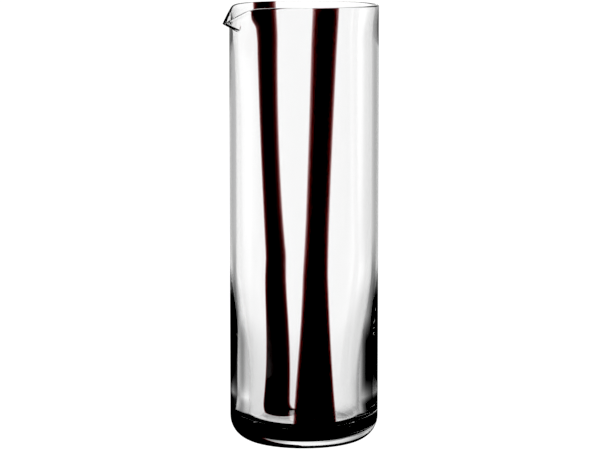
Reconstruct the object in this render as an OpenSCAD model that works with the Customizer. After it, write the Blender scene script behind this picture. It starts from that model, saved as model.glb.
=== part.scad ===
// Cocktail pitcher of mouth-blown glass: a plain cylinder with a heavy base, a thick lower wall
// and a pouring lip pulled out of the rim. Two dark stripes, lens-shaped in section, are cased
// between an inner layer (the first gather) and an outer layer (the casing) of clear glass.
// Millimetres. Z is the axis of the cylinder, the foot stands on z = 0 and the lip points to -X.

/* [Body] */
// Outer diameter of the cylinder
body_d = 88; // [76:1:104]
// Height from the foot to the rim
body_h = 259; // [200:1:320]
// Radius of the outer edge of the foot
foot_round = 14.4; // [8:0.2:18]
// Thickness of the base under the bowl
base_t = 13; // [10:0.5:24]
// Radius of the edge of the rim
rim_round = 0.9; // [0.3:0.1:1]

/* [Wall] */
// Wall at the rim, both layers together
rim_wall = 2.2; // [2.1:0.1:3.2]
// Height below the rim over which the wall thins to its edge
rim_h = 26; // [10:1:30]
// Wall between the rim and the thick part, both layers together
mid_wall = 3.7; // [3.3:0.1:5]
// Wall low down, both layers together
foot_wall = 10.9; // [6:0.1:13]
// Radius of the corner inside, between the wall and the bottom of the bowl
well_round = 6; // [4:0.5:16]
// Straight length of the thick wall above that corner
foot_straight = 9; // [1:0.5:20]
// Height over which the wall thins, above the straight length
thin_h = 76; // [40:1:90]
// Wall of the inner layer
lining_t = 1.1; // [1:0.05:1.2]
// Thickness of the inner layer under the bowl
lining_base_t = 4; // [2:0.5:6]

/* [Lip] */
// How far the tip of the lip stands out of the cylinder
lip_reach = 6.5; // [4:0.5:9]
// How far the tip lies below the rim
lip_drop = 9.4; // [6:0.2:14]
// How far the keel under the lip starts below the rim
lip_root = 15.5; // [13.5:0.5:24]
// Half of the angle that the fold under the lip spans on the wall, in degrees
lip_root_angle = 14; // [8:1:30]
// Height of the glass edge at the tip
lip_edge = 1.2; // [1:0.1:2.6]
// Radius of the nose of the lip
lip_nose = 0.9; // [0.5:0.1:1.4]
// Radius where the level rim turns down into the lip
lip_shoulder = 8; // [4:1:20]

/* [Stripes] */
// Thickness of a stripe at its middle
stripe_t = 1; // [0.6:0.05:1.2]
// Height at which the stripes are narrowest
waist_h = 140; // [100:1:180]
// Height at which the stripes stand upright, with a lean above and below
lean_h = 105; // [70:1:140]
// Direction of the front stripe at the rim, in degrees
front_rim_angle = -89.9; // [-110:0.1:-70]
// Direction of the front stripe where it stands upright, in degrees
front_mid_angle = -97.9; // [-110:0.1:-80]
// Direction of the front stripe at the foot, in degrees
front_foot_angle = -96.4; // [-110:0.1:-80]
// How early the front stripe leans over above there: 1 is even, more is early
front_lean = 1; // [0.6:0.05:2.5]
// Width of the front stripe at the rim
front_rim_w = 16.4; // [8:0.2:20]
// Width of the front stripe at its waist
front_waist_w = 13.9; // [8:0.1:20]
// Width of the front stripe at the foot
front_foot_w = 27; // [10:0.5:30]
// How far the front stripe runs round the corner and over the bottom of the bowl
front_tongue = 8.7; // [5:0.1:20]
// Direction of the back stripe at the rim, in degrees
back_rim_angle = 107.6; // [80:0.1:120]
// Direction of the back stripe where it stands upright, in degrees
back_mid_angle = 98.9; // [80:0.1:120]
// Direction of the back stripe at the foot, in degrees
back_foot_angle = 110; // [80:0.1:120]
// How early the back stripe leans over above there
back_lean = 2; // [0.6:0.05:2.5]
// Width of the back stripe at the rim
back_rim_w = 17.2; // [8:0.2:20]
// Width of the back stripe at its waist
back_waist_w = 13.9; // [8:0.1:20]
// Width of the back stripe at the foot
back_foot_w = 25; // [10:0.5:30]
// How far the back stripe runs round the corner and over the bottom of the bowl
back_tongue = 27; // [5:0.5:28]

/* [Hidden] */
$fn = 180;

clear_glass = [0.86, 0.9, 0.91, 0.35];
dark_glass = [0.16, 0.01, 0.03];

body_r = body_d / 2;
casing_t = rim_wall - lining_t;
casing_bottom = base_t - lining_base_t;
foot_top = base_t + well_round + foot_straight;
thin_top = foot_top + thin_h;

flare_steps = 8;
thin_steps = 16;
round_steps = 12;
rim_steps = 6;

// The lip's plan is the tangents from its tip to the round of the wall.
lip_half = acos(body_r / (body_r + lip_reach));
lip_start_x = body_r * cos(lip_half);
lip_slope = atan(lip_drop / (body_r + lip_reach - lip_start_x));
lip_fan = lip_half + 12;
lip_fan_steps = 28;
lip_shoulder_steps = 8;
lip_nose_fn = 24;
// The slice that the lip grows from lies this far under its face, and its trim this far over the rim.
lip_bite = 0.3;
lip_lift = 0.05;
lip_clear = 10;

front_form = [
    front_rim_angle, front_mid_angle, front_foot_angle, front_rim_w, front_waist_w, front_foot_w,
    front_lean, front_tongue
];
back_form = [
    back_rim_angle, back_mid_angle, back_foot_angle, back_rim_w, back_waist_w, back_foot_w,
    back_lean, back_tongue
];
lean_power = 1.3;
flare_power = 1.9;
// A stripe is lofted from this far over the rim. Its bed in the casing laps past its edges.
stripe_over = 1.5;
lap_ratio = 1.12;
stripe_steps = 12;
stripe_wall_steps = 40;
stripe_crowding = 1.5;
tongue_steps = 20;
tongue_full = 0.5;
blunt_ratio = 0.95;

function ease(t) = let (u = max(0, min(1, t))) u * u * (3 - 2 * u);

// Thickness of both layers together at height z
function wall_at(z) = z < thin_top
    ? mid_wall + (foot_wall - mid_wall) * ease((thin_top - z) / thin_h)
    : rim_wall + (mid_wall - rim_wall) * ease((body_h - z) / rim_h);

// Radius at height z of the face that lies out millimetres outside the face of the bowl
function face_r(z, out) = body_r - wall_at(z) + out;

// Radius at height z of the face that lies deep millimetres inside the outer face at the rim
function layer_r(z, deep) = deep == 0 ? body_r : face_r(z, rim_wall - deep);

function arc(centre, r, from, to, steps) =
    [for (i = [0:steps]) let (a = from + (to - from) * i / steps) centre + r * [cos(a), sin(a)]];

function corner_centre(out, bottom) = [face_r(foot_top, 0) - well_round, bottom + well_round + out];

// Outline of such a face from just below the rim to the axis
function face_below_rim(out, bottom) = concat(
    [for (i = [1:flare_steps]) let (z = body_h - rim_h * i / flare_steps) [face_r(z, out), z]],
    [for (i = [0:thin_steps]) let (z = thin_top - thin_h * i / thin_steps) [face_r(z, out), z]],
    arc(corner_centre(out, bottom), well_round + out, 0, -90, round_steps),
    [[0, bottom]]
);

// Outline of the face where the two layers meet, from the rim to the axis
function cased_face() = concat(
    [[face_r(body_h, lining_t), body_h]],
    face_below_rim(lining_t, casing_bottom)
);

function reversed(list) = [for (i = [len(list) - 1:-1:0]) list[i]];

// Outline of the outside, from the middle of the foot to the top of the rim
function outside() = concat(
    [[0, 0]],
    arc([body_r - foot_round, foot_round], foot_round, -90, 0, round_steps),
    arc([body_r - rim_round, body_h - rim_round], rim_round, 0, 90, rim_steps)
);

// The whole pitcher filled solid, as a plain turned shape
module solid_blank() {
    rotate_extrude() polygon(concat(outside(), [[0, body_h]]));
}

// Outer layer as a plain turned shape, before the lip is pulled and the stripes are laid in
module casing_blank() {
    rotate_extrude() polygon(concat(outside(), cased_face()));
}

// Inner layer as a plain turned shape
module lining_blank() {
    rim_centre = [face_r(body_h, rim_round), body_h - rim_round];
    rotate_extrude() polygon(concat(
        reversed(cased_face()),
        arc(rim_centre, rim_round, 90, 180, rim_steps),
        face_below_rim(0, base_t)
    ));
}

// Slice of a round wall that the lip grows out of
module lip_slice(r, fan) {
    polygon(arc([0, 0], r, 180 - fan, 180 + fan, lip_fan_steps));
}

// Beak under one face of the lip, deep millimetres inside the outer face, open upwards to height top
module lip_form(deep, top) {
    rise = lip_edge * deep / rim_wall;
    low = body_h - lip_root + rise;
    edge = body_h - rim_round;
    tip_x = -(body_r - deep) * (body_r + lip_reach) / body_r + lip_nose;
    tip_z = body_h - lip_drop - lip_edge + rise + lip_nose;
    hull() {
        translate([0, 0, low]) linear_extrude(lip_lift)
            lip_slice(layer_r(low, deep) - lip_bite, lip_root_angle);
        translate([0, 0, edge - lip_lift]) linear_extrude(top - edge + lip_lift)
            lip_slice(layer_r(body_h, deep) - lip_bite, lip_fan);
        translate([tip_x, 0, tip_z]) sphere(lip_nose, $fn = lip_nose_fn);
        translate([tip_x, 0, top - lip_lift]) cylinder(r = lip_nose, h = lip_lift, $fn = lip_nose_fn);
    }
}

// Glass that the lip adds outside a layer of thickness layer_t
module lip_beak(deep, layer_t) {
    core = [for (i = [0:flare_steps])
        let (z = body_h - lip_root * i / flare_steps) [layer_r(z, deep + layer_t / 2), z]];
    difference() {
        lip_form(deep, body_h - rim_round);
        rotate_extrude() polygon(concat([[0, body_h - lip_root], [0, body_h]], core));
    }
}

// What is cut off above the lip: down to the plane of its edge, rounded where the level rim ends
module lip_trim() {
    turn = lip_shoulder * tan(lip_slope / 2);
    far = lip_clear + lip_reach + body_r - lip_start_x;
    translate([-lip_start_x, body_r, body_h + lip_lift]) rotate([90, 0, 0]) linear_extrude(body_d)
        polygon(concat(
            arc([turn, -lip_shoulder], lip_shoulder, 90, 90 + lip_slope, lip_shoulder_steps),
            [[-far, -far * tan(lip_slope)], [-far, lip_clear], [turn, lip_clear]]
        ));
}

// Width of a stripe at height z
function stripe_w(form, z) = z < waist_h
    ? form[4] + (form[5] - form[4]) * pow((waist_h - z) / waist_h, flare_power)
    : form[4] + (form[3] - form[4]) * pow((z - waist_h) / (body_h - waist_h), flare_power);

// Direction of a stripe at height z
function stripe_angle(form, z) = z < lean_h
    ? form[1] + (form[2] - form[1]) * pow((lean_h - z) / lean_h, lean_power)
    : form[0] + (form[1] - form[0]) * pow(max(0, body_h - z) / (body_h - lean_h), form[6]);

// Thickness of a stripe at height z, which thins with the casing towards the rim
function stripe_bulge(z) = stripe_t * min(1, (wall_at(z) - lining_t) / (mid_wall - lining_t));

// Stations down the cased face, closest at the rim where the wall thins: radius, height, outward
// direction (two numbers) and fullness
function stripe_stations(form) =
    let (
        top = body_h + stripe_over,
        centre = corner_centre(lining_t, casing_bottom),
        r = well_round + lining_t
    ) concat(
        [for (i = [0:stripe_wall_steps])
            let (z = top + (foot_top - top) * pow(i / stripe_wall_steps, stripe_crowding))
                [face_r(z, lining_t), z, 1, 0, 1]],
        [for (i = [0:tongue_steps])
            let (
                way = form[7] * i / tongue_steps,
                a = min(90, way / r * 180 / PI),
                over = max(0, way - r * PI / 2),
                q = max(0, i / tongue_steps - tongue_full) / (1 - tongue_full),
                full = sqrt(1 - pow(blunt_ratio * q, 2))
            ) [centre[0] + r * cos(a) - over, centre[1] - r * sin(a), cos(a), -sin(a), full]]
    );

// One section of a stripe: its bulging face, then its inner face back again. A lap of 1 is the lens
// that stands on the cased face, and a wider one sinks a little way through that face.
function stripe_ring(form, station, lap) =
    let (
        half = stripe_w(form, station[1]) / 2 * station[4],
        bulge = stripe_bulge(station[1]) * station[4],
        shares = [for (j = [0:stripe_steps]) lap * (2 * j / stripe_steps - 1)],
        inner = bulge * (1 - lap * lap)
    ) concat(
        [for (s = shares) stripe_point(form, station, s * half, bulge * (1 - s * s))],
        [for (j = [stripe_steps - 1:-1:1]) stripe_point(form, station, shares[j] * half, inner)]
    );

// Point at a distance along the wall from a stripe's middle line and out from the cased face
function stripe_point(form, station, along, out) =
    let (
        a = stripe_angle(form, station[1]) + along / station[0] * 180 / PI,
        r = station[0] + out * station[2]
    ) [r * cos(a), r * sin(a), station[1] + out * station[3]];

// A stripe lofted through its sections
module stripe_loft(form, lap) {
    stations = stripe_stations(form);
    n = stripe_steps;
    count = 2 * n;
    last = (len(stations) - 1) * count;
    points = [for (station = stations) each stripe_ring(form, station, lap)];
    sides = [for (k = [0:len(stations) - 2], j = [0:count - 1])
        let (a = k * count + j, b = k * count + (j + 1) % count)
            each [[a, b, a + count], [b, b + count, a + count]]];
    cap = concat(
        [for (j = [1:n - 1]) [j, count - j, count - j - 1]],
        [for (j = [0:n - 2]) [j, count - j - 1, j + 1]]
    );
    foot_cap = [for (face = cap) [last + face[0], last + face[2], last + face[1]]];
    polyhedron(points, concat(sides, cap, foot_cap));
}

// A stripe ends flush with the rim
module stripe(form) {
    intersection() {
        solid_blank();
        stripe_loft(form, 1);
    }
}

module outer_casing() {
    color(clear_glass) difference() {
        union() {
            casing_blank();
            lip_beak(0, casing_t);
        }
        lip_form(casing_t, body_h + lip_clear);
        lip_trim();
        stripe_loft(front_form, lap_ratio);
        stripe_loft(back_form, lap_ratio);
    }
}

module inner_lining() {
    color(clear_glass) difference() {
        union() {
            lining_blank();
            lip_beak(casing_t, lining_t);
        }
        lip_form(rim_wall, body_h + lip_clear);
        lip_trim();
    }
}

module front_stripe() {
    color(dark_glass) stripe(front_form);
}

module back_stripe() {
    color(dark_glass) stripe(back_form);
}

outer_casing();
inner_lining();
front_stripe();
back_stripe();
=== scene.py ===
# %% [markdown]
# # A cocktail pitcher of cased glass
#
# This lesson dresses the CAD model of a blown pitcher: a tall clear cylinder with a heavy
# base, a pouring lip pulled out of its rim, and two dark stripes sealed inside the wall.
# Clear glass has hardly any look of its own. It shows what stands round it, bent and turned
# over, so the work is in true thickness, smooth faces and a calm studio.

# %% The frame from the CAD model
import math

import bmesh
import bpy
from mathutils import Matrix, Vector


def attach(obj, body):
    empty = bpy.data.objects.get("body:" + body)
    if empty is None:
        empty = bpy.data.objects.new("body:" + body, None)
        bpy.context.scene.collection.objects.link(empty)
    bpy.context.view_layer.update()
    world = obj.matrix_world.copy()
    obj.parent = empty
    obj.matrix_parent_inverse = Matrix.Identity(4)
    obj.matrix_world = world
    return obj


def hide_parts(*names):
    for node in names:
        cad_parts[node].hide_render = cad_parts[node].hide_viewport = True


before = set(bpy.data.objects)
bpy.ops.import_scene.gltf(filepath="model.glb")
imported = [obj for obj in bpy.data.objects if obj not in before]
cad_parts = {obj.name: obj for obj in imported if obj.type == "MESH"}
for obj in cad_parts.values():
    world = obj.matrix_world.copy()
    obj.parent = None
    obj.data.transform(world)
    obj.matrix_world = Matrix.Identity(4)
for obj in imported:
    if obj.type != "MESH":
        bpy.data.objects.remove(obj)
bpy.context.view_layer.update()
scene = bpy.context.scene
print("CAD nodes:", sorted(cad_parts))

# %% [markdown]
# ## The measures
#
# Blender works in metres and the pitcher was measured in millimetres, so each size is written
# as millimetres times MM. They are the sizes of the CAD model, because the dressed pitcher has
# to fill the same room.

# %% Sizes of the glass
MM = 0.001
BODY_R = 44 * MM
BODY_H = 259 * MM
FOOT_ROUND = 14.4 * MM
BASE_T = 13 * MM
RIM_ROUND = 0.9 * MM
RIM_WALL = 2.2 * MM
RIM_H = 26 * MM
MID_WALL = 3.7 * MM
FOOT_WALL = 10.9 * MM
WELL_ROUND = 6 * MM
FOOT_STRAIGHT = 9 * MM
FOOT_TOP = BASE_T + WELL_ROUND + FOOT_STRAIGHT
THIN_H = 76 * MM
THIN_TOP = FOOT_TOP + THIN_H
print(f"glass: {2000 * BODY_R:.0f} mm across, {1000 * BODY_H:.0f} mm high")


def ease(t):
    """From 0 to 1 with a gentle start and end."""
    t = min(1, max(0, t))
    return t * t * (3 - 2 * t)


def wall_at(z):
    """Thickness of the wall at height z: thin at the rim, heavy towards the foot."""
    if z < THIN_TOP:
        return MID_WALL + (FOOT_WALL - MID_WALL) * ease((THIN_TOP - z) / THIN_H)
    return RIM_WALL + (MID_WALL - RIM_WALL) * ease((BODY_H - z) / RIM_H)


# %% [markdown]
# ## Sums that become nodes
#
# Both Geometry Nodes and shaders are drawn as boxes joined by wires, and a formula of ten terms
# is ten boxes. This small class lets a formula be written as a formula: each sum on a Wire adds
# its Math node, and `make` adds any other node, with its settings before its sockets.

# %% A wire in a node tree
class Wire:
    """An output socket in a node tree. Arithmetic on it adds Math nodes to that tree."""

    def __init__(self, tree, socket=None):
        self.tree = tree
        self.socket = socket

    def make(self, kind, settings=None, inputs=None, output=0):
        """Adds a node, sets it up, fills or links its inputs, and gives the wire that leaves it."""
        node = self.tree.nodes.new(kind)
        for name, value in (settings or {}).items():
            if name == "stops":
                self.set_stops(node.color_ramp.elements, value)
            else:
                setattr(node, name, value)
        for key, value in (inputs or {}).items():
            if isinstance(value, Wire):
                self.tree.links.new(value.socket, node.inputs[key])
            else:
                node.inputs[key].default_value = value
        return Wire(self.tree, node.outputs[output] if node.outputs else None)

    @staticmethod
    def set_stops(elements, stops):
        """A ramp's stops, each a place from 0 to 1 and a grey level."""
        while len(elements) < len(stops):
            elements.new(0.5)
        for element, (place, level) in zip(elements, stops):
            element.position = place
            element.color = (level, level, level, 1)

    def math(self, operation, *others):
        values = dict(enumerate((self,) + others))
        return self.make("ShaderNodeMath", {"operation": operation}, values)

    def __add__(self, other):
        return self.math("ADD", other)

    __radd__ = __add__

    def __mul__(self, other):
        return self.math("MULTIPLY", other)

    __rmul__ = __mul__

    def __sub__(self, other):
        return self.math("SUBTRACT", other)

    def __rsub__(self, other):
        return self.make("ShaderNodeMath", {"operation": "SUBTRACT"}, {0: other, 1: self})

    def __truediv__(self, other):
        return self.math("DIVIDE", other)

    def __rtruediv__(self, other):
        return self.make("ShaderNodeMath", {"operation": "DIVIDE"}, {0: other, 1: self})

    def ease(self):
        """From 0 to 1 with a gentle start and end, as the function of that name."""
        t = self.math("MAXIMUM", 0.0).math("MINIMUM", 1.0)
        return t * t * (3 - 2 * t)


# %% [markdown]
# ## The camera
#
# The photograph was taken from about 1.6 m with a long lens, a little above the rim. The lip
# points left and 17 degrees towards the viewer. A camera fitted to the outline, the ellipse of
# the rim and the curve of the foot gave these numbers, and the small turn sets the pitcher
# four pixels right of the middle of the picture.

# %% Camera
LIP_TURN = math.radians(17)
CAMERA_BACK = 1.5937
CAMERA_UP = 0.3385
CAMERA_TILT = math.radians(7.511)
CAMERA_ASIDE = math.radians(0.086)
SENSOR_MM = 36
LENS_MM = 162.67

to_part = Matrix.Rotation(-LIP_TURN, 4, "Z")
lens = bpy.data.cameras.new("photo_lens")
lens.sensor_width = SENSOR_MM
lens.lens = LENS_MM
camera = bpy.data.objects.new("photo_camera", lens)
camera.location = to_part @ Vector((0, -CAMERA_BACK, CAMERA_UP))
camera.rotation_euler = (math.pi / 2 - CAMERA_TILT, 0, CAMERA_ASIDE - LIP_TURN)
scene.collection.objects.link(camera)
scene.camera = camera
print("camera at", [round(x, 3) for x in camera.location])

# %% [markdown]
# ## Clear glass
#
# The clear glass is soda glass: colourless, smooth from the fire, with an index near 1.5. The
# Principled shader makes it with full transmission, and a weak Volume Absorption gives thick
# glass the slight grey that it has in the base. Hand work leaves faint draw lines down the wall.
# A Bump node fed by noise that is stretched along the axis gives those without any painting.

# %% Material of the clear glass
GLASS_IOR = 1.5
GLASS_GREY = (0.93, 0.97, 0.96, 1)
GLASS_DENSITY = 1.2
RIPPLE_GRAIN = (90.0, 9.0)
RIPPLE_STRENGTH = 0.02
RIPPLE_DEPTH = 0.5 * MM


def new_material(name):
    """A material with an empty tree, and the wire that starts it."""
    material = bpy.data.materials.new(name)
    material.use_nodes = True
    material.node_tree.nodes.clear()
    return material, Wire(material.node_tree)


def draw_lines(sheet, around, along):
    """Noise with a finer grain round the pitcher than along it."""
    place = sheet.make("ShaderNodeTexCoord", output="Object")
    scale = (around, around, along)
    grain = sheet.make("ShaderNodeMapping", None, {"Vector": place, "Scale": scale})
    return sheet.make("ShaderNodeTexNoise", {"noise_dimensions": "3D"}, {
        "Vector": grain, "Scale": 1.0, "Detail": 1.0, "Roughness": 0.4,
    })


def glass_output(sheet, shader, colour, density):
    """Ends a glass: its surface, and plain absorption inside it."""
    inside = sheet.make("ShaderNodeVolumeAbsorption", None, {"Color": colour, "Density": density})
    sheet.make("ShaderNodeOutputMaterial", None, {"Surface": shader, "Volume": inside})


clear_glass, sheet = new_material("clear_glass")
ripple = sheet.make("ShaderNodeBump", None, {
    "Strength": RIPPLE_STRENGTH, "Distance": RIPPLE_DEPTH,
    "Height": draw_lines(sheet, *RIPPLE_GRAIN),
})
shader = sheet.make("ShaderNodeBsdfPrincipled", None, {
    "Base Color": (1, 1, 1, 1), "Roughness": 0.0, "IOR": GLASS_IOR,
    "Transmission Weight": 1.0, "Normal": ripple,
})
glass_output(sheet, shader, GLASS_GREY, GLASS_DENSITY)
print("clear glass has", len(clear_glass.node_tree.nodes), "nodes")

# %% [markdown]
# ## The profile of the glass
#
# A blown cylinder is a turned shape, so half of its cut outline says nearly all of it. The
# outline starts in the middle of the foot, climbs the outside, turns over the rim and goes down
# the inside to the middle of the bowl. The rows lie close together below the rim, where the
# lip will be pulled, and a mark says which points belong to the inside.

# %% Outline from the foot over the rim into the bowl
LIP_ZONE = 30 * MM
LIP_ROWS = 60
LIP_ROW_POWER = 1.7
OUTER_ROWS = 16
MID_ROWS = 24
THIN_ROWS = 32
CORNER_ROWS = 24
RIM_ROWS = 8


def arc(centre, radius, start, end, steps):
    """Points on an arc, in degrees, without its first one."""
    turns = [math.radians(start + (end - start) * i / steps) for i in range(1, steps + 1)]
    return [(centre[0] + radius * math.cos(a), centre[1] + radius * math.sin(a)) for a in turns]


def down_from(top, bottom, steps):
    """Heights from just under top to bottom, evenly spaced."""
    return [top + (bottom - top) * i / steps for i in range(1, steps + 1)]


def lip_heights():
    """Heights under the rim, close together at the rim itself."""
    depth = LIP_ZONE - RIM_ROUND
    return [BODY_H - RIM_ROUND - depth * (i / LIP_ROWS) ** LIP_ROW_POWER for i in range(1, LIP_ROWS + 1)]


def outer_outline():
    """Points (radius, height) from the middle of the foot to the top of the rim."""
    points = [(0, 0), (BODY_R - FOOT_ROUND, 0)]
    points += arc((BODY_R - FOOT_ROUND, FOOT_ROUND), FOOT_ROUND, -90, 0, CORNER_ROWS)
    points += [(BODY_R, z) for z in down_from(FOOT_ROUND, BODY_H - LIP_ZONE, OUTER_ROWS)]
    points += [(BODY_R, z) for z in reversed(lip_heights()[:-1])]
    points += [(BODY_R, BODY_H - RIM_ROUND)]
    return points + arc((BODY_R - RIM_ROUND, BODY_H - RIM_ROUND), RIM_ROUND, 0, 90, RIM_ROWS)


def inner_outline():
    """Points (radius, height) from the top of the rim to the middle of the bowl."""
    rim_r = BODY_R - RIM_WALL + RIM_ROUND
    corner_r = BODY_R - FOOT_WALL - WELL_ROUND
    heights = lip_heights() + down_from(BODY_H - LIP_ZONE, THIN_TOP, MID_ROWS)
    heights += down_from(THIN_TOP, FOOT_TOP, THIN_ROWS)
    points = [(rim_r, BODY_H)]
    points += arc((rim_r, BODY_H - RIM_ROUND), RIM_ROUND, 90, 180, RIM_ROWS)
    points += [(BODY_R - wall_at(z), z) for z in heights]
    points += [(corner_r + WELL_ROUND, BASE_T + WELL_ROUND)]
    points += arc((corner_r, BASE_T + WELL_ROUND), WELL_ROUND, 0, -90, CORNER_ROWS)
    return points + [(0, BASE_T)]


def row_object(name, places, **marks):
    """A row of points (radius, height) as a mesh, each with its marks as attributes."""
    mesh = bpy.data.meshes.new(name)
    mesh.from_pydata([(r, 0, z) for r, z in places], [], [])
    for mark, values in marks.items():
        mesh.attributes.new(mark, "FLOAT", "POINT").data.foreach_set("value", values)
    row = bpy.data.objects.new(name, mesh)
    scene.collection.objects.link(row)
    return row


outer = outer_outline()
inner = inner_outline()
sides = [0.0] * len(outer) + [1.0] * len(inner)
pitcher = row_object("pitcher_glass", outer + inner, inside=sides)
print("outline of", len(outer + inner), "points")

# %% [markdown]
# ## Wrapping a grid round the axis
#
# The Spin tool would turn the outline, but then the lip would have to be pulled vertex by vertex.
# In Geometry Nodes one rule can do both: a flat grid has a row for each point of the outline and
# a column for each step round the axis, and Set Position sends every grid point to its place.
# The stripes are wrapped by the same start and end, so these are kept as helpers.

# %% Start and end of a wrapped grid
WELD = 0.01 * MM


class Wrap:
    """A grid in a new Geometry Nodes tree, with its row and column as wires."""

    def __init__(self, name):
        self.tree = bpy.data.node_groups.new(name, "GeometryNodeTree")
        self.tree.is_modifier = True
        self.values = {}
        self.add_input("Row", "NodeSocketGeometry")
        self.add_input("Columns", "NodeSocketInt")
        self.add_input("Material", "NodeSocketMaterial")
        self.tree.interface.new_socket("Wrapped", in_out="OUTPUT", socket_type="NodeSocketGeometry")
        self.sheet = Wire(self.tree)
        self.group = self.tree.nodes.new("NodeGroupInput")
        self.rows = self.sheet.make(
            "GeometryNodeAttributeDomainSize", None, {"Geometry": self.input("Row")}, "Point Count")
        self.grid = self.sheet.make(
            "GeometryNodeMeshGrid", None, {"Vertices X": self.rows, "Vertices Y": self.input("Columns")})
        index = self.sheet.make("GeometryNodeInputIndex")
        self.row = (index / self.input("Columns")).math("FLOOR")
        self.share = (index - self.row * self.input("Columns")) / (self.input("Columns") - 1)

    def add_input(self, name, kind):
        self.tree.interface.new_socket(name, in_out="INPUT", socket_type=kind)

    def input(self, name):
        return Wire(self.tree, self.group.outputs[name])

    def number(self, name, value):
        """A named input for a size, with the value that the modifier will give it."""
        self.add_input(name, "NodeSocketFloat")
        self.values[name] = value
        return self.input(name)

    def mark(self, name):
        """What the outline's point of this row has in an attribute."""
        kind = {"data_type": "FLOAT"}
        value = self.sheet.make("GeometryNodeInputNamedAttribute", kind, {"Name": name})
        return self.sheet.make("GeometryNodeSampleIndex", kind, {
            "Geometry": self.input("Row"), "Value": value, "Index": self.row,
        })

    def place(self):
        """Radius and height of the outline's point of this row."""
        where = self.sheet.make("GeometryNodeInputPosition")
        point = self.sheet.make("GeometryNodeSampleIndex", {"data_type": "FLOAT_VECTOR"}, {
            "Geometry": self.input("Row"), "Value": where, "Index": self.row,
        })
        parts = self.tree.nodes.new("ShaderNodeSeparateXYZ")
        self.tree.links.new(point.socket, parts.inputs[0])
        return Wire(self.tree, parts.outputs["X"]), Wire(self.tree, parts.outputs["Z"])

    def finish(self, radius, angle, height):
        """Sends the grid to its places, closes its seams and gives it its material."""
        spot = self.sheet.make("ShaderNodeCombineXYZ", None, {
            "X": radius * angle.math("COSINE"), "Y": radius * angle.math("SINE"), "Z": height,
        })
        wall = self.sheet.make(
            "GeometryNodeSetPosition", None, {"Geometry": self.grid, "Position": spot})
        wall = self.sheet.make(
            "GeometryNodeMergeByDistance", None, {"Geometry": wall, "Distance": WELD})
        wall = self.sheet.make("GeometryNodeSetShadeSmooth", None, {"Geometry": wall})
        wall = self.sheet.make("GeometryNodeRealizeInstances", None, {"Geometry": wall})
        wall = self.sheet.make(
            "GeometryNodeSetMaterial", None, {"Geometry": wall, "Material": self.input("Material")})
        self.sheet.make("NodeGroupOutput", None, {"Wrapped": wall})

    def apply(self, row, columns, material):
        """Runs the tree on a row of points and keeps the result as that object's plain mesh."""
        modifier = row.modifiers.new("wrap", "NODES")
        modifier.node_group = self.tree
        given = dict(self.values, Columns=columns, Material=material)
        for item in self.tree.interface.items_tree:
            if item.in_out == "INPUT" and item.name in given:
                modifier[item.identifier] = given[item.name]
        graph = bpy.context.evaluated_depsgraph_get()
        mesh = bpy.data.meshes.new_from_object(row.evaluated_get(graph))
        row.modifiers.remove(modifier)
        row.data = mesh
        return row


print("a wrap starts from a grid with a row for each point of an outline")

# %% [markdown]
# ## The pulled lip
#
# While the rim is hot, the maker pulls one place out and down with a tool. The glass folds into
# two flat sides that meet at the tip, and an underside that runs back from the tip to the wall.
# Three planes say all that: a side goes through the tip, the place on the rim where the lip
# starts and the place on the wall where its fold ends, and the underside through the tip and
# both fold ends. A point of the wall moves out to the nearer plane, with softened corners.
# The pull also thins the glass: in the lip itself, more past its tip, and over a longer way in
# the wall below, which gives glass to the lip.

# %% Planes of the lip
LIP_REACH = 6.5 * MM
LIP_DROP = 9.4 * MM
LIP_EDGE = 1.0 * MM
LIP_ROOT = 14.5 * MM
LIP_ROOT_HALF = math.radians(14)
LIP_RISE = 1.2 * MM
LIP_TWIST = 4 * MM
LIP_SHOULDER = 4 * MM
LIP_SOFT = 0.4 * MM
# The nose is rounded over an angle, in radians.
LIP_NOSE = 0.012

lip_half = math.acos(BODY_R / (BODY_R + LIP_REACH))
lip_start = BODY_R * math.cos(lip_half)
lip_tip = Vector((BODY_R + LIP_REACH, 0, BODY_H - LIP_DROP - LIP_EDGE))
lip_shoulder = Vector((lip_start, BODY_R * math.sin(lip_half), BODY_H))
fold_x = BODY_R * math.cos(LIP_ROOT_HALF)
fold_y = BODY_R * math.sin(LIP_ROOT_HALF)
lip_fold = Vector((fold_x, fold_y, BODY_H - LIP_ROOT))
side = (lip_fold - lip_tip).cross(lip_shoulder - lip_tip)
side /= side.xy.length
side_turn = math.atan2(side.y, side.x)
side_far = side.dot(lip_tip)
under_slope = (lip_tip.x - lip_fold.x) / (lip_tip.z - lip_fold.z)
print(f"the lip takes up {2 * math.degrees(lip_half):.0f} degrees of the rim")

# %% Glass of the pitcher
AROUND = 361
LIP_CROWDING = 0.6
LEAST_AHEAD = 0.3
# Share of the glass that the pull takes away, and the share more at an angle past the tip.
LIP_THIN = 0.3
LIP_THIN_MORE = 0.25
LIP_THIN_TURN = 0.7
# How far it reaches to the near and the far side, in radians, and the share of that with all of it.
LIP_THIN_NEAR = 0.75
LIP_THIN_FAR = 1.3
LIP_THIN_FULL = 0.6
# Depths below the rim at which it starts and is complete.
LIP_THIN_LOW = 12 * MM
LIP_THIN_HIGH = 1 * MM
# The wall that gives glass to the lip: its angles from the tip, their fade, and its depth.
UNDER_NEAR = 0.5
UNDER_FAR = -1.15
UNDER_FADE = 0.35
UNDER_H = 66 * MM

turned = Wrap("turned glass with a lip")
drop = turned.number("Lip drop", LIP_DROP)
nose = turned.number("Lip nose", LIP_NOSE)
shoulder = turned.number("Lip shoulder", LIP_SHOULDER)
soft = turned.number("Lip softness", LIP_SOFT)
radius, height = turned.place()
inside = turned.mark("inside")

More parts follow.
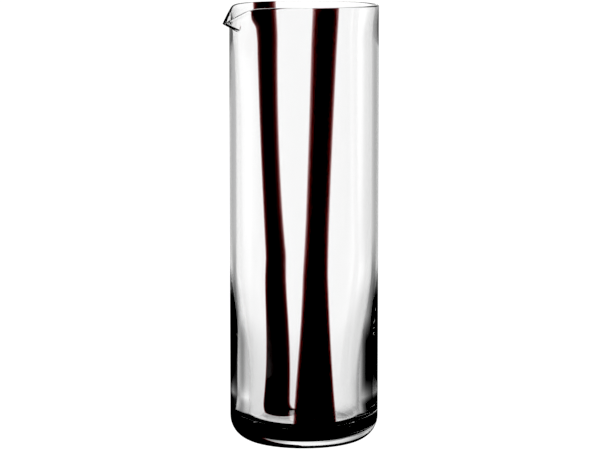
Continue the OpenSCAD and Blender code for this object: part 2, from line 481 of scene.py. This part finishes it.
# Columns crowd towards the lip, at angle 0 here, where the shape needs them.
even = (turned.share - 0.5) * (2 * math.pi)
angle = even - LIP_CROWDING * even.math("SINE")
ahead = angle.math("COSINE")
from_side = side_turn - (angle * angle + nose * nose).math("SQRT")
opening = from_side.math("MAXIMUM", 0.0).math("COSINE")
closing = from_side.math("MINIMUM", 0.0).math("COSINE")


def to_side(level):
    """Distance from the axis to a side of the lip at this level. Past the side it closes on the axis."""
    return (side_far - level * side.z) * closing / opening


# The rim dips in a plane that starts where the sides leave the round, with a soft shoulder.
beyond = (to_side(BODY_H)).math("MAXIMUM", BODY_R) * ahead - lip_start
ramp = (beyond + (beyond * beyond + shoulder * shoulder).math("SQRT")) / 2
dip = ramp * drop / (lip_tip.x - lip_start)
in_zone = ((height - (BODY_H - LIP_ZONE)) / LIP_ZONE).ease()
lowered = height - dip * in_zone

# The wall moves out to the nearer of the side and the underside, if that is outside the round.
level = lowered - inside * LIP_RISE
above_tip = level + angle * LIP_TWIST - lip_tip.z
underside = (lip_tip.x + above_tip * under_slope) / ahead.math("MAXIMUM", LEAST_AHEAD)
lip = to_side(level).math("SMOOTH_MIN", underside, soft)
out = lip.math("SMOOTH_MAX", BODY_R, soft)

# The pull stretches the glass, so the lip is thinner than the rim that it grows out of.
aside = angle.math("MAXIMUM", 0.0) / LIP_THIN_NEAR - angle.math("MINIMUM", 0.0) / LIP_THIN_FAR
beside = ((1 - aside) / (1 - LIP_THIN_FULL)).ease()
beside = beside * ((height - (BODY_H - LIP_THIN_LOW)) / (LIP_THIN_LOW - LIP_THIN_HIGH)).ease()
past_tip = (angle / -LIP_THIN_TURN).ease()
stretched = beside * (past_tip * LIP_THIN_MORE + LIP_THIN)

# The wall below gives glass to it, so it thins over a longer way there than elsewhere.
under = ((UNDER_NEAR - angle) / UNDER_FADE).ease() * ((angle - UNDER_FAR) / UNDER_FADE).ease()
under = under * inside * height.math("GREATER_THAN", BODY_H - UNDER_H)
depth = BODY_R - radius
drawn = RIM_WALL + ((BODY_H - height) / UNDER_H).ease() * (MID_WALL - RIM_WALL)
depth = depth + (drawn - depth).math("MINIMUM", 0.0) * under
depth = depth * (1 - stretched)
turned.finish((BODY_R - depth) * out / BODY_R, angle + math.pi, lowered)
turned.apply(pitcher, AROUND, clear_glass)
print("pitcher_glass:", len(pitcher.data.polygons), "faces")

# %% [markdown]
# ## Dark glass
#
# The stripes are a deep red glass, so strong in colour that it looks black where it is thick and
# glows red only where it thins at the edges. Paint could not do that, but absorption does it
# alone: light fades with the depth of glass that it crosses. The index is 1 because the stripe
# lies in glass of the same kind, so nothing bends where the two meet.

# %% Material of the dark glass
DARK_RED = (0.36, 0.0, 0.0, 1)
DARK_DENSITY = 9400.0
STREAK_GRAIN = (900.0, 40.0)

dark_glass, sheet = new_material("dark_glass")
streaks = sheet.make("ShaderNodeMapRange", None, {
    "Value": draw_lines(sheet, *STREAK_GRAIN),
    "From Min": 0.3, "From Max": 0.7, "To Min": 0.94, "To Max": 1.0,
})
tint = sheet.make("ShaderNodeCombineColor", None, {"Red": 1.0, "Green": streaks, "Blue": streaks})
shader = sheet.make("ShaderNodeBsdfPrincipled", None, {
    "Base Color": tint, "Roughness": 0.0, "IOR": 1.0, "Transmission Weight": 1.0,
})
glass_output(sheet, shader, DARK_RED, DARK_DENSITY)
print("dark glass has", len(dark_glass.node_tree.nodes), "nodes")

# %% [markdown]
# ## The stripes
#
# Each stripe was laid on the first gather of glass and covered by the last one, so it follows
# the face between the two layers: down the wall, a little aslant, then round the corner of the
# bowl to a blunt end. In section it is a thin lens, fuller at its edges towards the foot. A row
# of stations down that face holds the stripe's width, direction, thickness and section, and the
# same wrapped grid makes the lens at each one.

# %% Stations down the face between the two layers of glass
LINING_T = 1.1 * MM
LINING_BASE_T = 4 * MM
STRIPE_T = 1 * MM
STRIPE_END = 0.5 * MM
STRIPE_COVER = 0.75
SECTION_TOP = 2
SECTION_FOOT = 6
WAIST_H = 140 * MM
FLARE_POWER = 1.9
LEAN_H = 105 * MM
LEAN_POWER = 1.3
TONGUE_FULL = 0.5
BLUNT = 0.95
WALL_STATIONS = 60
TONGUE_STATIONS = 24

front_form = {
    "angles": (-89.9, -97.9, -96.4), "lean": 1, "tongue": 8.7 * MM,
    "widths": (16.4 * MM, 13.9 * MM, 27 * MM),
}
back_form = {
    "angles": (107.6, 98.9, 110), "lean": 2, "tongue": 27 * MM,
    "widths": (17.2 * MM, 13.9 * MM, 25 * MM),
}


def stripe_angle(form, z):
    """Direction of a stripe at height z: upright at one height, aslant above and below."""
    rim, mid, foot = form["angles"]
    if z < LEAN_H:
        return math.radians(mid + (foot - mid) * ((LEAN_H - z) / LEAN_H) ** LEAN_POWER)
    return math.radians(rim + (mid - rim) * ((BODY_H - z) / (BODY_H - LEAN_H)) ** form["lean"])


def stripe_width(form, z):
    """Width of a stripe at height z: it flares from its waist to both ends."""
    rim, waist, foot = form["widths"]
    if z < WAIST_H:
        return waist + (foot - waist) * ((WAIST_H - z) / WAIST_H) ** FLARE_POWER
    return waist + (rim - waist) * ((z - WAIST_H) / (BODY_H - WAIST_H)) ** FLARE_POWER


def stripe_depth(z):
    """The stripe thins with its cover towards the rim."""
    return min(STRIPE_T, STRIPE_COVER * (wall_at(z) - LINING_T))


def stripe_section(z):
    """Power of the stripe's section: a lens from the waist up, fuller towards the foot."""
    return SECTION_TOP + (SECTION_FOOT - SECTION_TOP) * ease((WAIST_H - z) / WAIST_H)


def stripe_stations(tongue):
    """Place, outward turn and fullness of each station, closed to a point at both ends."""
    top = BODY_H - STRIPE_END
    heights = [top] + down_from(top, FOOT_TOP, WALL_STATIONS)
    stations = [(BODY_R - wall_at(z) + LINING_T, z, 0, 1) for z in heights]
    bend = WELL_ROUND + LINING_T
    corner_r = BODY_R - FOOT_WALL - WELL_ROUND
    corner_z = BASE_T - LINING_BASE_T + bend
    for i in range(TONGUE_STATIONS + 1):
        way = tongue * i / TONGUE_STATIONS
        turn = min(way / bend, math.pi / 2)
        over = max(0, way - bend * math.pi / 2)
        taper = max(0, i / TONGUE_STATIONS - TONGUE_FULL) / (1 - TONGUE_FULL)
        full = math.sqrt(1 - (BLUNT * taper) ** 2)
        r = corner_r + bend * math.cos(turn) - over
        stations.append((r, corner_z - bend * math.sin(turn), turn, full))
    first, last = stations[0], stations[-1]
    return [first[:3] + (0,)] + stations + [last[:3] + (0,)]


def stripe_row(name, form):
    """The stations of a stripe as a row object, with what the wrapped grid needs at each one."""
    stations = stripe_stations(form["tongue"])
    return row_object(
        name, [s[:2] for s in stations],
        direction=[stripe_angle(form, z) for _, z, _, _ in stations],
        half=[stripe_width(form, z) / 2 * full for _, z, _, full in stations],
        depth=[stripe_depth(z) * full for _, z, _, full in stations],
        section=[stripe_section(z) for _, z, _, _ in stations],
        out_r=[math.cos(turn) for _, _, turn, _ in stations],
        out_z=[-math.sin(turn) for _, _, turn, _ in stations],
    )


print("stations on each stripe:", len(stripe_stations(front_form["tongue"])))

# %% Front and back stripe
ACROSS = 33

laid = Wrap("stripe laid on a wall")
radius, height = laid.place()
# A column runs over the bulging face from edge to edge, then back along the inner face.
across = 1 - (laid.share * 4 - 2).math("ABSOLUTE")
bulging = laid.share.math("LESS_THAN", 0.5)
bulge = 1 - across.math("ABSOLUTE").math("POWER", laid.mark("section"))
out = laid.mark("depth") * bulge * bulging
angle = laid.mark("direction") + across * laid.mark("half") / radius
laid.finish(radius + out * laid.mark("out_r"), angle, height + out * laid.mark("out_z"))

front_stripe = laid.apply(stripe_row("front_dark_stripe", front_form), ACROSS, dark_glass)
back_stripe = laid.apply(stripe_row("back_dark_stripe", back_form), ACROSS, dark_glass)
print("stripes:", len(front_stripe.data.polygons), "faces each")

# %% [markdown]
# ## Which way the faces look
#
# Light bends the right way only where a face looks out of its glass. A closed mesh with outward
# faces has a positive volume, so the sign of the volume tells whether the grid was wrapped the
# right way round, and a mesh that was wrapped inside out is flipped.

# %% Faces outward
def face_outward(piece):
    """Turns a closed mesh right side out, and gives its volume in millilitres."""
    work = bmesh.new()
    work.from_mesh(piece.data)
    if work.calc_volume(signed=True) < 0:
        bmesh.ops.reverse_faces(work, faces=work.faces)
    open_edges = sum(not edge.is_manifold for edge in work.edges)
    volume = work.calc_volume(signed=True) * 1e6
    work.to_mesh(piece.data)
    work.free()
    return f"{volume:.1f} ml of glass, {open_edges} open edges"


for piece in (pitcher, front_stripe, back_stripe):
    print(piece.name, face_outward(piece))

# %% [markdown]
# ## The studio
#
# The picture is a light-field one: a white sweep glows under and behind the glass, the room above
# is dark, and no lamp shines from the front. Edges of the glass turn dark because they bend the
# view to the dimmer sides and up into the dark room. The floor therefore glows by itself, and
# the World goes on with the sweep for a few degrees above the horizon.
#
# Such a sweep is never quite even, and glass shows it. Light that comes straight through the
# walls has bent little and sees the middle. Light that is mirrored inside a wall sees the sides
# as well, and the Light Path node tells the two apart: Glossy Depth counts the mirrorings. So
# each has its own table of tones by direction, for the floor close to the pitcher, near it and
# far away. Where the sweep is seen past the glass, it is plain white.

# %% Tones of the sweep
BACK = to_part @ Vector((0, 1, 0))
RIGHT = to_part @ Vector((1, 0, 0))
GLOW = 1.09
# Each stop is a direction, in degrees to the right of straight back, and the tone there.
FAR_STRAIGHT = (
    (-180, 1.0), (9, 1.0), (11, 0.85), (25, 0.74),
    (45, 0.72), (80, 1.0), (180, 1.0),
)
NEAR_STRAIGHT = (
    (-180, 1.0), (13, 1.0), (20, 0.87), (30, 0.78), (42, 0.78),
    (48, 0.5), (55, 0.45), (110, 1.0), (180, 1.0),
)
# Close to the pitcher every tone is lower: painted shade of the pitcher on the glowing floor.
CLOSE_STRAIGHT = (
    (-180, 0.8), (-8, 0.8), (8, 0.92), (30, 0.84), (42, 0.66),
    (48, 0.45), (55, 0.4), (110, 0.9), (180, 0.8),
)
FAR_MIRRORED = (
    (-180, 0.03), (-94, 0.03), (-85, 0.95), (-52, 0.97), (-44, 0.53),
    (-36, 0.45), (-20, 0.36), (-13, 0.42), (-7, 0.85), (6, 0.95),
    (10, 0.55), (16, 0.36), (29, 0.36), (36, 0.46), (43, 0.6),
    (56, 0.8), (84, 0.8), (94, 0.2), (102, 0.03), (180, 0.03),
)
SKY_MIRRORED = (
    (-180, 0.03), (-94, 0.03), (-85, 0.9), (-52, 0.9), (-40, 0.45),
    (-30, 0.6), (-22, 0.8), (-9, 1.0), (6, 1.0), (14, 0.6), (20, 0.4),
    (34, 0.2), (43, 0.4), (84, 0.6), (102, 0.03), (180, 0.03),
)
NEAR_MIRRORED = (
    (-180, 0.03), (-112, 0.03), (-94, 0.3), (-85, 0.95), (-62, 1.0), (-54, 0.8),
    (-46, 0.55), (-40, 0.28), (-34, 0.2), (-22, 0.42), (-16, 0.8), (-9, 0.92),
    (6, 1.0), (14, 0.5), (23, 0.4), (28, 0.05), (36, 0.15), (43, 0.2),
    (52, 0.33), (61, 0.5), (75, 0.5), (95, 0.3), (112, 0.03), (180, 0.03),
)
CLOSE_MIRRORED = (
    (-180, 0.03), (-112, 0.03), (-95, 0.5), (-75, 0.6), (-67, 0.55), (-60, 0.35),
    (-54, 0.3), (-46, 0.45), (-38, 0.65), (-34, 0.02), (54, 0.0), (64, 0.1),
    (73, 0.45), (84, 0.4), (95, 0.2), (112, 0.03), (180, 0.03),
)


def along(sheet, vector, direction):
    """Length of a vector along a direction."""
    settings = {"operation": "DOT_PRODUCT"}
    return sheet.make("ShaderNodeVectorMath", settings, {0: vector, 1: tuple(direction)}, "Value")


def tone_of(sheet, vector, tones):
    """Tone in the direction of a vector."""
    turn = along(sheet, vector, RIGHT).math("ARCTAN2", along(sheet, vector, BACK))
    stops = [((degrees + 180) / 360, tone) for degrees, tone in tones]
    return sheet.make("ShaderNodeValToRGB", {"stops": stops}, {"Fac": turn / (2 * math.pi) + 0.5})


def between(first, second, share):
    """The first value where the share is 0, the second where it is 1."""
    return share * (second - first) + first


def light_path(sheet, output):
    """1 for light that has such a step on its path, else 0."""
    return sheet.make("ShaderNodeLightPath", output=output).math("MINIMUM", 1.0)


print("tones of the sweep in", len(FAR_MIRRORED), "directions")

# %% Material of the floor
# Distances from the axis of the pitcher, in metres, between which one tone gives way to the next.
CONTACT = 0.06
CLOSE = 0.128
NOT_CLOSE = 0.175
NOT_CLOSE_STRAIGHT = 0.22
NEAR = 0.6
FAR = 1.0
SHADE = 0.54
NO_SHADE = 0.72
OUTSIDE_TONE = 0.45

floor_white, sheet = new_material("floor_white")
place = sheet.make("ShaderNodeTexCoord", output="Object")
distance = sheet.make("ShaderNodeVectorMath", {"operation": "LENGTH"}, {0: place}, "Value")


def past(start, end):
    """From 0 at one distance from the pitcher to 1 at another."""
    return ((distance - start) / (end - start)).ease()


away = past(NEAR, FAR)
close_straight = tone_of(sheet, place, CLOSE_STRAIGHT)
near_straight = tone_of(sheet, place, NEAR_STRAIGHT)
straight = between(close_straight, near_straight, past(CLOSE, NOT_CLOSE_STRAIGHT))
straight = between(straight, tone_of(sheet, place, FAR_STRAIGHT), away)

# Mirrored light finds the floor dark where the foot shades it. What the outer face mirrors
# hasn't passed through glass at all: it finds a dimmer sweep that starts further out.
close_mirrored = tone_of(sheet, place, CLOSE_MIRRORED)
near_mirrored = tone_of(sheet, place, NEAR_MIRRORED)
far_mirrored = tone_of(sheet, place, FAR_MIRRORED)
near_mirrored = between(close_mirrored, near_mirrored, past(CLOSE, NOT_CLOSE))
turned_back = between(near_mirrored, far_mirrored, away) * past(CONTACT, CLOSE)
off_outside = far_mirrored.math("MINIMUM", OUTSIDE_TONE) * past(SHADE, NO_SHADE)
turned_back = between(off_outside, turned_back, light_path(sheet, "Transmission Depth"))
tone = between(straight, turned_back, light_path(sheet, "Glossy Depth"))
tone = between(tone, 1.0, light_path(sheet, "Is Camera Ray"))
glow = sheet.make("ShaderNodeEmission", None, {"Color": tone, "Strength": GLOW})
sheet.make("ShaderNodeOutputMaterial", None, {"Surface": glow})
print("floor material has", len(floor_white.node_tree.nodes), "nodes")

# %% Floor
FLOOR_SIZE = 60
FLOOR_GAP = 0.2 * MM

floor_mesh = bpy.data.meshes.new("floor")
half = FLOOR_SIZE / 2
corners = [(-half, -half), (half, -half), (half, half), (-half, half)]
floor_mesh.from_pydata([(x, y, -FLOOR_GAP) for x, y in corners], [], [(0, 1, 2, 3)])
floor = bpy.data.objects.new("floor", floor_mesh)
floor.data.materials.append(floor_white)
scene.collection.objects.link(floor)
print("floor of", FLOOR_SIZE, "m")

# %% World
# The strip of sky ends at an even height, and on a slant for mirrored light: highest back left.
STRIP_TOP = 0.152
STRIP_EDGE = 0.03
MIRRORED_BACK = to_part @ Vector((-0.574, 0.819, 0))
MIRRORED_SLOPE = 0.63
MIRRORED_DROP = 0.2

world = bpy.data.worlds.new("studio")
world.use_nodes = True
world.node_tree.nodes.clear()
scene.world = world
sheet = Wire(world.node_tree)
way = sheet.make("ShaderNodeTexCoord", output="Generated")
rise = along(sheet, way, (0, 0, 1))
mirrored = light_path(sheet, "Glossy Depth")
slant = along(sheet, way, MIRRORED_BACK) * MIRRORED_SLOPE - MIRRORED_DROP
top = between(STRIP_TOP, slant, mirrored)
strip = ((top - rise) / STRIP_EDGE).ease()
tone = between(tone_of(sheet, way, FAR_STRAIGHT), tone_of(sheet, way, SKY_MIRRORED), mirrored)
tone = between(strip * tone, 1.0, light_path(sheet, "Is Camera Ray"))
sky = sheet.make("ShaderNodeBackground", None, {"Color": tone, "Strength": GLOW})
sheet.make("ShaderNodeOutputWorld", None, {"Surface": sky})
print("a bright strip of sky behind the pitcher")

# %% [markdown]
# ## Picture settings
#
# Light in thick glass is turned back many times before it leaves, so the paths need room for
# many bounces: with too few, the edges go black for the wrong reason. The Standard view keeps
# white as white, and a slightly raised black point gives the crisp print of a product picture.

# %% Light paths and tones
BLACK_POINT = 0.01
BOUNCES = 32

scene.cycles.max_bounces = BOUNCES
scene.cycles.transmission_bounces = BOUNCES
scene.cycles.glossy_bounces = BOUNCES
scene.view_settings.view_transform = "Standard"
scene.view_settings.look = "None"
scene.view_settings.use_curve_mapping = True
scene.view_settings.curve_mapping.black_level = (BLACK_POINT, BLACK_POINT, BLACK_POINT)
scene.view_settings.curve_mapping.update()
print("up to", BOUNCES, "bounces")

# %% [markdown]
# ## Handing the pieces over
# ## The pieces and the CAD solids
# Each piece stands for its solids in the CAD model. The two layers of clear glass are fused on
# the real pitcher and no seam between them can be seen, so one body of glass stands for both.

# %% Bodies, nodes and material slots
for piece, slot, nodes in (
    (pitcher, "clear_glass", ("outer_casing", "inner_lining")),
    (front_stripe, "dark_glass", ("front_stripe",)),
    (back_stripe, "dark_glass", ("back_stripe",)),
):
    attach(piece, "root")
    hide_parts(*nodes)
